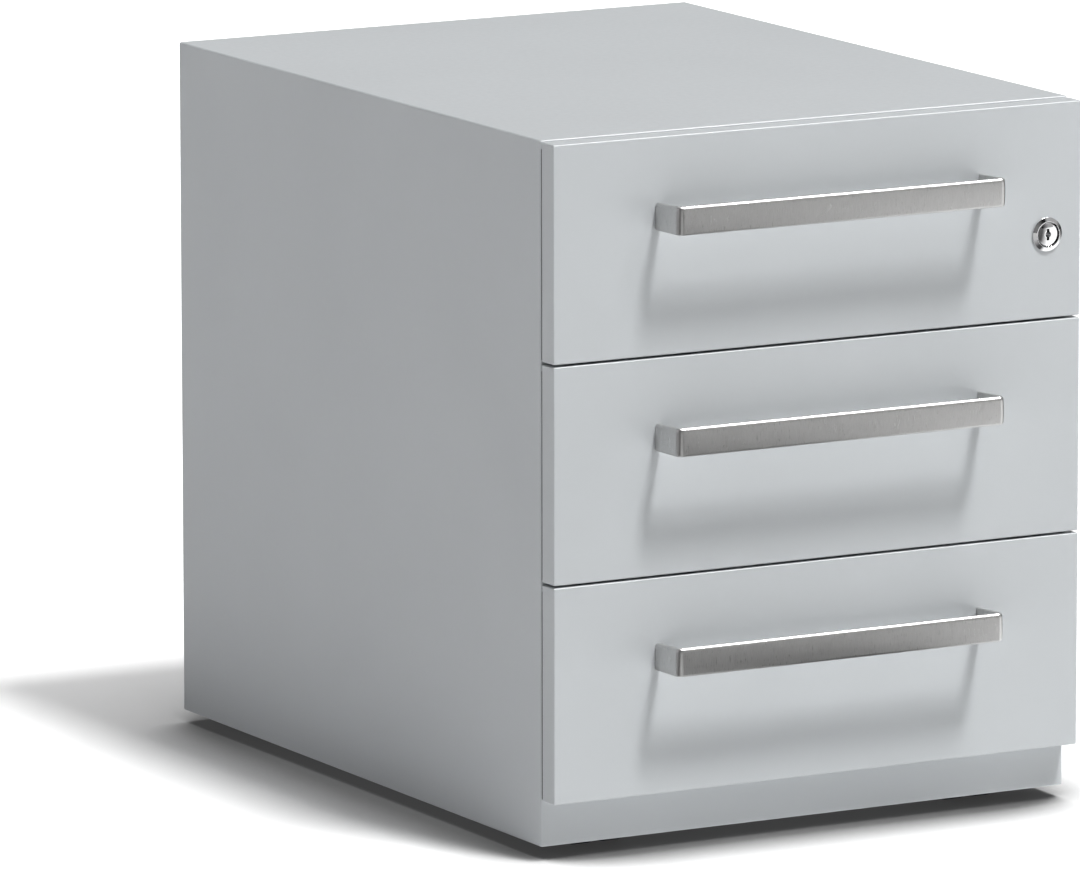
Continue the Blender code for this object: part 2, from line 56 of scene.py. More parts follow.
DRAWERS = ("top", "middle", "bottom")
SIDES = (("left", -1), ("right", 1))
ENDS = ("front", "rear")
SHEET = 1.0 * MM
FIT = 0.3 * MM
TRAY_GAP = 0.65 * MM
# The floor's emission is painted light: it lifts the floor's shadows and lights the cabinet from
# below.
FLOOR_PAINTED_GLOW = 0.21
WHITE = (1.0, 1.0, 1.0)
# What polished metal mirrors: (compass angle in degrees, 0 is -Y and 90 is +X; brightness).
SCREENS = ((-180, 0.3), (-125, 0.3), (-90, 0.15), (-62, 0.35), (-54, 0.04),
           (-38, 0.04), (-30, 0.5), (-8, 0.42), (12, 0.04), (23, 0.04), (33, 1.0),
           (70, 1.0), (80, 0.05), (110, 0.05), (122, 1.0), (165, 1.0), (180, 0.4))
UP_TO = {"x": Vector((1, 0, 0)), "y": Vector((0, 1, 0)), "z": Vector((0, 0, 1))}


# ---- mesh helpers -------------------------------------------------------------------
def mesh_from(name, bm):
    """A mesh datablock from a bmesh, which is freed."""
    mesh = bpy.data.meshes.new(name)
    bm.to_mesh(mesh)
    bm.free()
    return mesh


def loose(name, mesh):
    """A temporary object in the scene, to run modifiers on."""
    made = bpy.data.objects.new(name, mesh)
    bpy.context.scene.collection.objects.link(made)
    return made


def modify(target, kind, **settings):
    """Adds a modifier and sets its properties."""
    modifier = target.modifiers.new(kind.lower(), kind)
    for key, value in settings.items():
        setattr(modifier, key, value)
    return modifier


def baked(target):
    """The evaluated mesh of a temporary object, which is then removed."""
    bpy.context.view_layer.update()
    graph = bpy.context.evaluated_depsgraph_get()
    mesh = bpy.data.meshes.new_from_object(target.evaluated_get(graph))
    mesh.name = target.name
    bpy.data.objects.remove(target, do_unlink=True)
    return mesh


def joined(mesh, tools, operation="DIFFERENCE"):
    """A mesh after exact Booleans with a list of other meshes."""
    target = loose(mesh.name, mesh)
    helpers = [loose(f"{mesh.name}_tool", tool) for tool in tools]
    for helper in helpers:
        modify(target, "BOOLEAN", operation=operation, solver="EXACT", object=helper)
    mesh = baked(target)
    for helper in helpers:
        bpy.data.objects.remove(helper, do_unlink=True)
    return mesh


def softened(mesh, width, segments=2, angle=50):
    """Rounds every edge that is sharper than an angle."""
    target = loose(mesh.name, mesh)
    modify(target, "BEVEL", width=width, segments=segments, limit_method="ANGLE",
           angle_limit=math.radians(angle), use_clamp_overlap=True)
    return baked(target)


def smoothed(mesh, angle=38):
    """Smooth shading that keeps flat faces flat."""
    mesh.shade_smooth()
    mesh.set_sharp_from_angle(angle=math.radians(angle))
    target = loose(mesh.name, mesh)
    modify(target, "WEIGHTED_NORMAL", keep_sharp=True, weight=80)
    return baked(target)


def box_bmesh(low, high):
    """A box between two corners."""
    bm = bmesh.new()
    bmesh.ops.create_cube(bm, size=1.0)
    low, high = Vector(low), Vector(high)
    for vert in bm.verts:
        vert.co = Vector((low[i] + (vert.co[i] + 0.5) * (high[i] - low[i]) for i in range(3)))
    return bm


def box_mesh(name, low, high, rounding=0.0, segments=3):
    """A solid box, its edges rounded where a rounding is given."""
    bm = box_bmesh(low, high)
    if rounding:
        bmesh.ops.bevel(bm, geom=bm.edges[:], offset=rounding, segments=segments, affect="EDGES",
                        profile=0.5)
    return mesh_from(name, bm)


def window(bm, direction, low_margins, high_margins):
    """Cuts a rectangular window in one side of a box; the margins are the flanges that stay."""
    bm.normal_update()
    face = max(bm.faces, key=lambda item: item.normal.dot(Vector(direction)))
    corners = [vert.co.copy() for vert in face.verts]
    low = Vector((min(co[i] for co in corners) for i in range(3)))
    high = Vector((max(co[i] for co in corners) for i in range(3)))
    middle = (low + high) / 2
    first_inset = 2 * MM
    bmesh.ops.inset_region(bm, faces=[face], thickness=first_inset, use_even_offset=True)
    for vert in face.verts:
        for i in range(3):
            if abs(direction[i]) > 0.5:
                continue
            if vert.co[i] < middle[i]:
                vert.co[i] = low[i] + low_margins[i]
            else:
                vert.co[i] = high[i] - high_margins[i]
    bmesh.ops.delete(bm, geom=[face], context="FACES")


def sheet_metal(mesh, rounding, segments):
    """Rounds the folds of an open surface and gives it the sheet's thickness."""
    target = loose(mesh.name, mesh)
    modify(target, "BEVEL", width=rounding, segments=segments, limit_method="ANGLE",
           angle_limit=math.radians(50))
    modify(target, "SOLIDIFY", thickness=SHEET, offset=-1.0, use_even_offset=True)
    return baked(target)


def strip_mesh(name, points, along, start, end):
    """An open surface: an outline swept along an axis ('y' or 'z')."""
    bm = bmesh.new()
    if along == "y":
        place = [Vector((a, start, b)) for a, b in points]
        sweep = Vector((0, end - start, 0))
    else:
        place = [Vector((a, b, start)) for a, b in points]
        sweep = Vector((0, 0, end - start))
    verts = [bm.verts.new(co) for co in place]
    edges = [bm.edges.new(pair) for pair in zip(verts, verts[1:])]
    grown = bmesh.ops.extrude_edge_only(bm, edges=edges)["geom"]
    moved = [item for item in grown if isinstance(item, bmesh.types.BMVert)]
    bmesh.ops.translate(bm, verts=moved, vec=sweep)
    return mesh_from(name, bm)


def rounded_outline(points, radius, steps):
    """An open outline whose inner corners are turned into arcs."""
    made = [points[0]]
    for before, corner, after in zip(points, points[1:], points[2:]):
        at, back, ahead = Vector(corner), Vector(before), Vector(after)
        one = (back - at).normalized()
        two = (ahead - at).normalized()
        half = one.angle(two) / 2
        reach = radius / math.tan(half)
        centre = at + (one + two).normalized() * radius / math.sin(half)
        start = at + one * reach - centre
        turn = start.angle_signed(at + two * reach - centre)
        for i in range(steps + 1):
            angle = -turn * i / steps
            made.append((centre.x + start.x * math.cos(angle) - start.y * math.sin(angle),
                         centre.y + start.x * math.sin(angle) + start.y * math.cos(angle)))
    made.append(points[-1])
    return made


def cylinder_mesh(name, radius, start, end, axis, centre=(0, 0, 0), segments=64):
    """A solid cylinder between two coordinates along 'x', 'y' or 'z', beside a centre."""
    bm = bmesh.new()
    bmesh.ops.create_cone(bm, cap_ends=True, segments=segments, radius1=radius, radius2=radius,
                          depth=abs(end - start))
    rotation = UP_TO["z"].rotation_difference(UP_TO[axis]).to_matrix()
    bmesh.ops.rotate(bm, verts=bm.verts, cent=(0, 0, 0), matrix=rotation)
    bmesh.ops.translate(bm, verts=bm.verts, vec=UP_TO[axis] * (start + end) / 2 + Vector(centre))
    return mesh_from(name, bm)


def turned_mesh(name, profile, axis, centre=(0, 0, 0), steps=96, closed=False, reverse=False):
    """A turned solid from (radius, height) points, its height axis turned along an axis."""
    bm = bmesh.new()
    rings = []
    on_axis = 1e-7
    for radius, height in profile:
        if radius < on_axis:
            rings.append([bm.verts.new((0, 0, height))])
            continue
        ring = []
        for i in range(steps):
            angle = math.tau * i / steps
            ring.append(bm.verts.new((radius * math.cos(angle), radius * math.sin(angle), height)))
        rings.append(ring)
    pairs = list(zip(rings, rings[1:])) + ([(rings[-1], rings[0])] if closed else [])
    for one, two in pairs:
        for i in range(steps):
            following = (i + 1) % steps
            corners = [one[i % len(one)], one[following % len(one)],
                       two[following % len(two)], two[i % len(two)]]
            bm.faces.new(list(dict.fromkeys(corners)))
    bmesh.ops.recalc_face_normals(bm, faces=bm.faces)
    turn = UP_TO["z"].rotation_difference(UP_TO[axis] * (-1 if reverse else 1)).to_matrix()
    bmesh.ops.rotate(bm, verts=bm.verts, cent=(0, 0, 0), matrix=turn)
    bmesh.ops.translate(bm, verts=bm.verts, vec=Vector(centre))
    return mesh_from(name, bm)


def arc(centre, radius, start, end, steps):
    """Points on an arc in a turned profile; the angles are in degrees."""
    points = []
    for i in range(steps + 1):
        angle = math.radians(start + (end - start) * i / steps)
        points.append((centre[0] + radius * math.cos(angle), centre[1] + radius * math.sin(angle)))
    return points


def cleaned_copy(node):
    """A CAD node's mesh as a new mesh with its flat faces whole again."""
    same_point, same_plane = 0.002 * MM, math.radians(0.6)
    bm = bmesh.new()
    bm.from_mesh(frame["nodes"][node].data)
    bmesh.ops.remove_doubles(bm, verts=bm.verts, dist=same_point)
    bmesh.ops.dissolve_limit(bm, angle_limit=same_plane, verts=bm.verts, edges=bm.edges)
    return mesh_from(f"{node}_fine", bm)


# ---- materials ----------------------------------------------------------------------
class Finish:
    """A procedural Principled material, built up node by node."""

    def __init__(self, name, roughness, metallic=0.0, **constants):
        self.material = bpy.data.materials.new(name)
        self.material.use_nodes = True
        self.tree = self.material.node_tree
        self.shader = self.tree.nodes["Principled BSDF"]
        self.shader.inputs["Roughness"].default_value = roughness
        self.shader.inputs["Metallic"].default_value = metallic
        for socket, value in constants.items():
            self.shader.inputs[socket.replace("_", " ")].default_value = value
        self.place = self.node("ShaderNodeTexCoord").outputs["Object"]

    def node(self, kind, **settings):
        """A node with its settings."""
        made = self.tree.nodes.new(kind)
        for key, value in settings.items():
            setattr(made, key, value)
        return made

    def link(self, source, target):
        """Joins two sockets."""
        self.tree.links.new(source, target)

    def noise(self, scale, detail=2.0, stretch=(1, 1, 1)):
        """A noise value over the object's own coordinates."""
        mapping = self.node("ShaderNodeMapping")
        mapping.inputs["Scale"].default_value = stretch
        self.link(self.place, mapping.inputs["Vector"])
        texture = self.node("ShaderNodeTexNoise")
        texture.inputs["Scale"].default_value = scale
        texture.inputs["Detail"].default_value = detail
        self.link(mapping.outputs["Vector"], texture.inputs["Vector"])
        return texture.outputs["Fac"]

    def openness(self, distance):
        """How much of the air within a distance is free, from 0 to 1."""
        made = self.node("ShaderNodeAmbientOcclusion", samples=24)
        made.inputs["Distance"].default_value = distance
        return made.outputs["AO"]

    def ranged(self, value, low, high, start=0.3, end=0.7):
        """A value mapped onto a new range."""
        made = self.node("ShaderNodeMapRange")
        made.inputs["From Min"].default_value = start
        made.inputs["From Max"].default_value = end
        made.inputs["To Min"].default_value = low
        made.inputs["To Max"].default_value = high
        self.link(value, made.inputs["Value"])
        return made.outputs["Result"]

    def colour(self, value, dark, light, start=0.3, end=0.7):
        """The base colour runs between two colours by a value."""
        ramp = self.node("ShaderNodeValToRGB")
        ramp.color_ramp.elements[0].position = start
        ramp.color_ramp.elements[0].color = (*dark, 1)
        ramp.color_ramp.elements[1].position = end
        ramp.color_ramp.elements[1].color = (*light, 1)
        self.link(value, ramp.inputs["Fac"])
        self.link(ramp.outputs["Color"], self.shader.inputs["Base Color"])

    def roughness(self, value, low, high):
        """The roughness runs between two numbers by a value."""
        self.link(self.ranged(value, low, high), self.shader.inputs["Roughness"])

    def bump(self, value, strength, distance, below=None):
        """Adds a height to the normal, on top of an earlier one."""
        made = self.node("ShaderNodeBump")
        made.inputs["Strength"].default_value = strength
        made.inputs["Distance"].default_value = distance
        self.link(value, made.inputs["Height"])
        if below:
            self.link(below, made.inputs["Normal"])
        self.link(made.outputs["Normal"], self.shader.inputs["Normal"])
        return made.outputs["Normal"]


def shade(colour, factor):
    """A colour made lighter or darker."""
    return tuple(min(1.0, channel * factor) for channel in colour)


def powder_coat():
    """Satin silver-grey powder coat: faint clouding, a fine orange peel and a finer grain."""
    base = (0.478, 0.500, 0.515)
    made = Finish("powder_coat", 0.34, IOR=1.5)
    made.colour(made.noise(9.0, 4.0), shade(base, 0.985), shade(base, 1.015))
    made.roughness(made.noise(220.0, 3.0), 0.31, 0.37)
    peel = made.bump(made.noise(420.0, 2.0), 0.25, 0.02 * MM)
    made.bump(made.noise(2600.0, 2.0), 0.30, 0.01 * MM, peel)
    return made.material


def brushed_nickel():
    """Satin nickel with a fine grain across the strip."""
    base = (0.58, 0.577, 0.572)
    made = Finish("brushed_nickel", 0.3, 1.0)
    grain = made.noise(1.0, 3.0, (5200, 5200, 160))
    made.colour(grain, shade(base, 0.93), shade(base, 1.07))
    made.roughness(made.noise(1.0, 4.0, (3600, 3600, 120)), 0.26, 0.38)
    made.bump(grain, 0.35, 0.012 * MM)
    return made.material


def chrome():
    """Polished chrome plate with a trace of haze."""
    made = Finish("chrome", 0.05, 1.0)
    made.colour(made.noise(300.0, 3.0), (0.80, 0.80, 0.81), (0.86, 0.86, 0.87))
    made.roughness(made.noise(900.0, 4.0), 0.035, 0.07)
    made.bump(made.noise(700.0, 2.0), 0.06, 0.01 * MM)
    return made.material


def zinc():
    """Bright zinc plate with a faint bluish cloud and drawing marks along the strip."""
    made = Finish("zinc_plate", 0.32, 1.0)
    made.colour(made.noise(45.0, 5.0), (0.50, 0.515, 0.53), (0.60, 0.60, 0.60))
    made.roughness(made.noise(120.0, 4.0, (1, 0.15, 1)), 0.27, 0.42)
    made.bump(made.noise(900.0, 3.0, (1, 0.04, 1)), 0.25, 0.02 * MM)
    return made.material


def moulded(name, colour, low, high, grain, gloss=0.5):
    """A moulded plastic with a spark-eroded grain."""
    made = Finish(name, (low + high) / 2)
    made.shader.inputs["Specular IOR Level"].default_value = gloss
    made.colour(made.noise(70.0, 4.0), shade(colour, 0.85), shade(colour, 1.2))
    made.roughness(made.noise(260.0, 3.0), low, high)
    made.bump(made.noise(grain, 3.0), 0.35, 0.04 * MM)
    return made.material


def cast_iron():
    """Oiled black cast iron with a sandy skin."""
    made = Finish("cast_iron", 0.6, 0.6)
    made.colour(made.noise(120.0, 6.0), (0.055, 0.053, 0.05), (0.12, 0.115, 0.11))
    made.roughness(made.noise(300.0, 4.0), 0.45, 0.7)
    made.bump(made.noise(650.0, 5.0), 0.6, 0.15 * MM)
    return made.material


PAINT = powder_coat()
NICKEL = brushed_nickel()
CHROME = chrome()
ZINC = zinc()
NYLON = moulded("black_nylon", (0.015, 0.015, 0.016), 0.38, 0.5, 1500.0)
TREAD = moulded("castor_tread", (0.009, 0.009, 0.0095), 0.6, 0.75, 900.0, 0.0)
RUBBER = moulded("black_rubber", (0.018, 0.018, 0.018), 0.55, 0.7, 1200.0)
IRON = cast_iron()


def piece(name, mesh, material, body, slot, *nodes):
    """A finished piece: material, body, and the CAD nodes it stands for; the slot is not used."""
    mesh.materials.clear()
    mesh.materials.append(material)
    made = bpy.data.objects.new(name, mesh)
    bpy.context.scene.collection.objects.link(made)
    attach(made, body)
    if nodes:
        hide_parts(*nodes)
    return made


def body_of(node):
    """The CAD body that a node belongs to."""
    groups = frame["record"]["behaviour"]["bodies"]
    return next(body for body, members in groups.items() if node in members)


def refined(node, width, material, slot, segments=2):
    """A CAD node's own shape with its sharp edges rounded."""
    mesh = smoothed(softened(cleaned_copy(node), width, segments))
    piece(f"{node}_fine", mesh, material, body_of(node), slot, node)


# ---- carcass ------------------------------------------------------------------------
def build_shell():
    """The folded shell with its three windows, every fold a real radius."""
    low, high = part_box("carcass_shell")
    wall = Vector((SHEET, SHEET, SHEET))
    fold, steps, deep = 1.5 * MM, 8, 5 * MM
    side_return, return_width, foot_return = 9 * MM, 12 * MM, 10 * MM
    outer = box_mesh("carcass_shell_fine", low, high, fold, steps)
    hollow = box_mesh("hollow", low + wall, high - wall, fold - SHEET, steps)
    base_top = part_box("base_panel")[1].z
    front = box_mesh("front_window", (low.x + side_return, low.y - deep, base_top),
                     (high.x - side_return, low.y + deep, high.z - return_width))
    rear = box_mesh("rear_window", (low.x + return_width, high.y - deep, low.z + return_width),
                    (high.x - return_width, high.y + deep, high.z - return_width))
    foot = box_mesh("foot_window", (low.x + foot_return, low.y + foot_return, low.z - deep),
                    (high.x - foot_return, high.y - foot_return, low.z + deep))
    shell = joined(outer, [hollow, front, rear, foot])
    shell = smoothed(softened(shell, 0.2 * MM, 2, 60))
    piece("carcass_shell_fine", shell, PAINT, "carcass", "cabinet_paint", "carcass_shell")


def build_carcass():
    """Shell, pans, uprights and counterweight."""
    build_shell()
    refined("back_panel", 0.2 * MM, PAINT, "cabinet_paint")
    refined("base_panel", 0.2 * MM, PAINT, "cabinet_paint")
    for end in ENDS:
        for side, _ in SIDES:
            refined(f"upright_{end}_{side}", 0.25 * MM, ZINC, "zinc_steel")
    refined("counterweight", 0.5 * MM, IRON, "counterweight_iron")


# ---- drawers ------------------------------------------------------------------------
def build_front(row):
    """A folded drawer front; the top one has the lock's hole."""
    low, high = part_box(f"{row}_front")
    bm = box_bmesh(low, high)
    flange, fold, steps = 12 * MM, 1.0 * MM, 8
    window(bm, (0, 1, 0), (flange,) * 3, (flange,) * 3)
    mesh = sheet_metal(mesh_from(f"{row}_front_fine", bm), fold, steps)
    if row == "top":
        centre = lock_centre()
        hole_radius, past = 10.5 * MM, 5 * MM
        hole = cylinder_mesh("lock_hole", hole_radius, low.y - past, high.y + past, "y",
                             (centre.x, 0, centre.z))
        mesh = joined(mesh, [hole])
    piece(f"{row}_front_fine", smoothed(mesh), PAINT, f"{row}_drawer", "cabinet_paint",
          f"{row}_front")
    refined(f"{row}_front_liner", 0.15 * MM, PAINT, "cabinet_paint")


def build_tray(row):
    """A folded drawer tray with its lock ear."""
    low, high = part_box(f"{row}_tray")
    half = -low.x
    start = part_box(f"{row}_front")[1].y + TRAY_GAP
    rim, fold, steps = 6 * MM, 1.5 * MM, 5
    bm = box_bmesh((-half, start, low.z), (half, high.y, high.z))
    window(bm, (0, 0, 1), (rim,) * 3, (rim,) * 3)
    mesh = sheet_metal(mesh_from(f"{row}_tray_fine", bm), fold, steps)
    carcass_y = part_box("carcass_shell")[0].y
    ear_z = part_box(f"{row}_front")[0].z + 60.5 * MM
    into_wall, ear_near, ear_far, ear_tall = 0.7 * MM, 11 * MM, 13 * MM, 8 * MM
    ear = box_mesh("ear", (half - into_wall, carcass_y + ear_near, ear_z),
                   (high.x, carcass_y + ear_far, ear_z + ear_tall))
    mesh = joined(mesh, [ear], "UNION")
    if row == "top":
        centre = lock_centre()
        beside, below, behind = 11.5 * MM, 24 * MM, 6.25 * MM
        past_front, past_side, past_top = 20 * MM, 200 * MM, 0.5
        notch = box_mesh("notch", (centre.x - beside, start - past_front, centre.z - below),
                         (past_side, carcass_y + behind, past_top))
        mesh = joined(mesh, [notch])
    piece(f"{row}_tray_fine", smoothed(softened(mesh, 0.2 * MM, 2, 60)), PAINT, f"{row}_drawer",
          "cabinet_paint", f"{row}_tray")


def handle_section(strip, tall):
    """The strip's cross-section: a slightly crowned outer face, its upper edge the rounder one."""
    crown, outer, inner = 0.25 * MM, 1.9 * MM, 0.8 * MM
    stretch = 1.7
    half = strip / 2
    crest = tall - outer * stretch
    points = []
    for i in range(9):
        t = i / 4 - 1
        points.append((half - crown * t * t, outer + (t + 1) / 2 * (crest - outer)))
    shoulder = half - crown - outer
    for out, rise in arc((shoulder, 0), outer, 0, 90, 10)[1:]:
        points.append((out, crest + rise * stretch))
    points += arc((inner - half, tall - inner), inner, 90, 180, 4)
    points += arc((inner - half, inner), inner, 180, 270, 4)
    points += arc((shoulder, outer), outer, 270, 360, 8)[:-1]
    return points


def build_handle(row):
    """The flat strip bent into a U, its legs tapering slightly towards the front."""
    low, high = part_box(f"{row}_handle")
    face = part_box(f"{row}_front")[0].y
    bend, strip, tall = 5 * MM, 4 * MM, 20 * MM
    top_drop, foot_drop = 1.5 * MM, 0.4 * MM
    middle = Vector((high.x - bend, low.y + bend))
    path = [(Vector((high.x - strip / 2, face - FIT)), Vector((1, 0)))]
    steps = 20
    for i in range(steps + 1):
        angle = math.pi / 2 * i / steps
        normal = Vector((math.cos(angle), -math.sin(angle)))
        path.append((middle + normal * (bend - strip / 2), normal))
    path += [(Vector((-at.x, at.y)), Vector((-normal.x, normal.y))) for at, normal in reversed(path)]
    section = handle_section(strip, tall)
    bm = bmesh.new()
    rings = []
    for at, normal in path:
        lean = max(0.0, (at.y - middle.y) / (face - middle.y))
        ring = []
        for out, rise in section:
            drop = foot_drop + (top_drop - foot_drop) * rise / tall
            flat = at + normal * out
            ring.append(bm.verts.new((flat.x, flat.y, high.z - tall + rise - lean * drop)))
        rings.append(ring)
    count = len(section)
    for one, two in zip(rings, rings[1:]):
        for j in range(count):
            following = (j + 1) % count
            bm.faces.new((one[j], one[following], two[following], two[j]))
    bm.faces.new(rings[0])
    bm.faces.new(reversed(rings[-1]))
    bmesh.ops.recalc_face_normals(bm, faces=bm.faces)
    mesh = mesh_from(f"{row}_handle_fine", bm)
    piece(f"{row}_handle_fine", smoothed(mesh), NICKEL, f"{row}_drawer", "handle_nickel",
          f"{row}_handle")


def build_slides(row):
    """Rolled slide members with round corners, three a side."""
    wall = 1.2 * MM
    # In millimetres: the web's and the lips' distance from the middle, half the height, and
    # the side the sheet's thickness grows to.
    shapes = {"outer": (200.0, 189.5, 18.0, 1.0), "middle": (198.1, 189.5, 15.8, 1.0),
              "inner": (187.8, 195.8, 13.4, -1.0)}
    for member, (web, tip, half, offset) in shapes.items():
        outline = [(tip * MM, half * MM), (web * MM, half * MM), (web * MM, -half * MM),
                   (tip * MM, -half * MM)]
        outline = rounded_outline(outline, 2.6 * MM, 5)
        for side, sign in SIDES:
            node = f"{row}_slide_{member}_{side}"
            low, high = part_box(node)
            middle = (low.z + high.z) / 2
            placed = [(sign * x, z + middle) for x, z in outline]
            target = loose(f"{node}_fine", strip_mesh(f"{node}_fine", placed, "y", low.y, high.y))
            modify(target, "SOLIDIFY", thickness=wall, offset=offset * sign, use_even_offset=True)
            mesh = smoothed(softened(baked(target), 0.15 * MM, 1, 60))
            piece(f"{node}_fine", mesh, ZINC, body_of(node), "zinc_steel", node)


# ---- lock ---------------------------------------------------------------------------
def lock_centre():
    """The middle of the lock, in the plane of the top front."""
    low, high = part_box("lock_housing")
    return Vector(((low.x + high.x) / 2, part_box("top_front")[0].y, (low.z + high.z) / 2))


def build_lock():
    """Conical bezel and barrel, domed plug with keyway, cam and bar."""
    centre = lock_centre()
    proud = 2.4 * MM
    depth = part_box("top_front")[1].y - centre.y
    bore, rim, stem = 8.8 * MM, 12.0 * MM, 10.2 * MM
    ring = [(bore, -depth), (bore, proud - 0.4 * MM)]
    ring += arc((bore + 0.4 * MM, proud - 0.4 * MM), 0.4 * MM, 180, 56, 6)
    ring += arc((rim - 0.6 * MM, 0.7 * MM), 0.6 * MM, 56, -20, 6)
    ring += [(rim - 0.3 * MM, 0.3 * MM), (stem, 0.3 * MM), (stem, -depth)]
    housing = turned_mesh("lock_housing_fine", ring, "y", centre, 128, closed=True, reverse=True)
    piece("lock_housing_fine", smoothed(housing), CHROME, "top_drawer", "lock_chrome",
          "lock_housing")
    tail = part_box("lock_cylinder")[1].y - centre.y
    crest, dome, edge, steps = 1.9 * MM, 52 * MM, 7.7 * MM, 8
    plug = [(0, crest)]
    for i in range(1, steps + 1):
        reach = edge * i / steps
        plug.append((reach, crest - reach * reach / (2 * dome)))
    plug += arc((edge, plug[-1][1] - 0.5 * MM), 0.5 * MM, 80, 0, 4)
    plug += [(8.2 * MM, -tail), (0, -tail)]
    body = turned_mesh("lock_cylinder_fine", plug, "y", centre, 128, reverse=True)
    slot_half, slot_reach, eye_radius = MM, 4 * MM, 2.1 * MM
    outside, inside = centre.y - 5 * MM, centre.y + 7 * MM
    slot = box_mesh("key_slot", (centre.x - slot_half, outside, centre.z - slot_reach),
                    (centre.x + slot_half, inside, centre.z + slot_reach))
    eye = cylinder_mesh("key_eye", eye_radius, outside, inside, "y", (centre.x, 0, centre.z), 32)
    body = joined(body, [slot, eye])
    piece("lock_cylinder_fine", smoothed(softened(body, 0.12 * MM, 2, 60)), CHROME, "lock_plug",
          "lock_chrome", "lock_cylinder")
    refined("lock_cam", 0.2 * MM, ZINC, "zinc_steel")
    refined("lock_bar", 0.2 * MM, ZINC, "zinc_steel")


# ---- castors ------------------------------------------------------------------------
def wheel_profile(width, radius):
    """Half section of a wheel's core from the hub's outer face over the rim to the bore."""
    rim, bore, bore_end = radius - 2.2 * MM, 2.8 * MM, width - 3 * MM
    cap, ring_groove = width - 0.2 * MM, width - 0.9 * MM
    disc, dish, lip = width - 0.3 * MM, width - 1.2 * MM, width - 0.5 * MM
    points = [(0, cap), (4.2 * MM, cap), (4.6 * MM, ring_groove), (6.0 * MM, ring_groove),
              (6.4 * MM, disc), (rim - 4.4 * MM, disc), (rim - 3.6 * MM, dish),
              (rim - 1.4 * MM, dish), (rim - 0.8 * MM, lip), (rim, lip), (rim, 0.5 * MM),
              (rim - 1.0 * MM, 0)]
    points += [(bore, 0), (bore, bore_end), (0, bore_end)]
    return points


def tread_profile(width, radius):
    """Half section of the soft tyre around a wheel, with rounded shoulders."""
    shoulder, seat = 2.6 * MM, radius - 2.0 * MM
    points = [(seat, width - 0.3 * MM), (radius - shoulder, width)]
    points += arc((radius - shoulder, width - shoulder), shoulder, 90, 0, 8)[1:]
    points += arc((radius - shoulder, shoulder), shoulder, 0, -90, 8)
    points += [(seat, 0.3 * MM)]
    return points


def build_castors():
    """Wheels, yokes and plates of the four swivel castors."""
    for row in ENDS:
        for side, _ in SIDES:
            name = f"castor_{row}_{side}"
            build_wheels(name)
            build_yoke(name)
            refined(f"{name}_plate", 0.3 * MM, ZINC, "zinc_steel")


def build_wheels(name):
    """The twin wheels of one castor."""
    steps = 72
    for place, sign in SIDES:
        node = f"{name}_wheel_{place}"
        low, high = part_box(node)
        width = high.x - low.x
        inner = low.x if sign > 0 else high.x
        centre = (inner, (low.y + high.y) / 2, (low.z + high.z) / 2)
        radius = (high.z - low.z) / 2
        core = turned_mesh(f"{node}_fine", wheel_profile(width, radius), "x", centre, steps,
                           reverse=sign < 0)
        piece(f"{node}_fine", smoothed(core), NYLON, node, "castor_wheel", node)
        tyre = turned_mesh(f"{node}_tyre", tread_profile(width, radius), "x", centre, steps,
                           closed=True, reverse=sign < 0)
        piece(f"{node}_tyre", smoothed(tyre), TREAD, node, "castor_wheel")


def build_yoke(name):
    """Hood, web, swivel plate and axle in one moulding."""
    low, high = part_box(f"{name}_wheel_right")
    axle = Vector((0, (low.y + high.y) / 2, (low.z + high.z) / 2))
    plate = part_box(f"{name}_plate")
    swivel = Vector(((plate[0].x + plate[1].x) / 2, (plate[0].y + plate[1].y) / 2, 0))
    axle.x = swivel.x
    radius = (high.z - low.z) / 2
    web_half, hood_half = 2.7 * MM, 19.0 * MM
    hub_radius, pin_radius, pin_half = 14 * MM, 2.4 * MM, 16 * MM
    disc_radius, disc_foot, disc_top, pivot_radius = 14.5 * MM, 42 * MM, 46 * MM, 4.4 * MM

    def across(label, size, half, segments=96):
        return cylinder_mesh(label, size, axle.x - half, axle.x + half, "x", (0, axle.y, axle.z),
                             segments)

    hood = joined(across("hood", radius + 2.3 * MM, hood_half),
                  [across("hollow", radius + 0.8 * MM, hood_half + MM),
                   box_mesh("below", axle + Vector((-25, -50, -25)) * MM,
                            (axle.x + 25 * MM, axle.y + 57 * MM, radius + 6 * MM))])
    hood = softened(hood, 0.5 * MM, 2, 60)
    neck_half, saddle_half, saddle_front = 9 * MM, 12 * MM, 4 * MM
    saddle_foot, inside_disc = 41.6 * MM, 44 * MM
    neck = box_mesh("neck", (axle.x - web_half, axle.y - neck_half, radius),
                    (axle.x + web_half, axle.y + neck_half, inside_disc))
    saddle = box_mesh("saddle", (axle.x - saddle_half, axle.y - saddle_front, saddle_foot),
                      (axle.x + saddle_half, swivel.y, inside_disc))
    disc = cylinder_mesh("disc", disc_radius, disc_foot, disc_top, "z", swivel)
    pin = across("pin", pin_radius, pin_half, 32)
    mesh = joined(across(f"{name}_yoke_fine", hub_radius, web_half),
                  [neck, hood, disc, saddle, pin], "UNION")
    pivot_foot, pivot_top = 40 * MM, 50 * MM
    pivot = cylinder_mesh("pivot", pivot_radius, pivot_foot, pivot_top, "z", swivel)
    mesh = joined(mesh, [pivot])
    piece(f"{name}_yoke_fine", smoothed(mesh), NYLON, name, "castor_yoke", f"{name}_yoke")
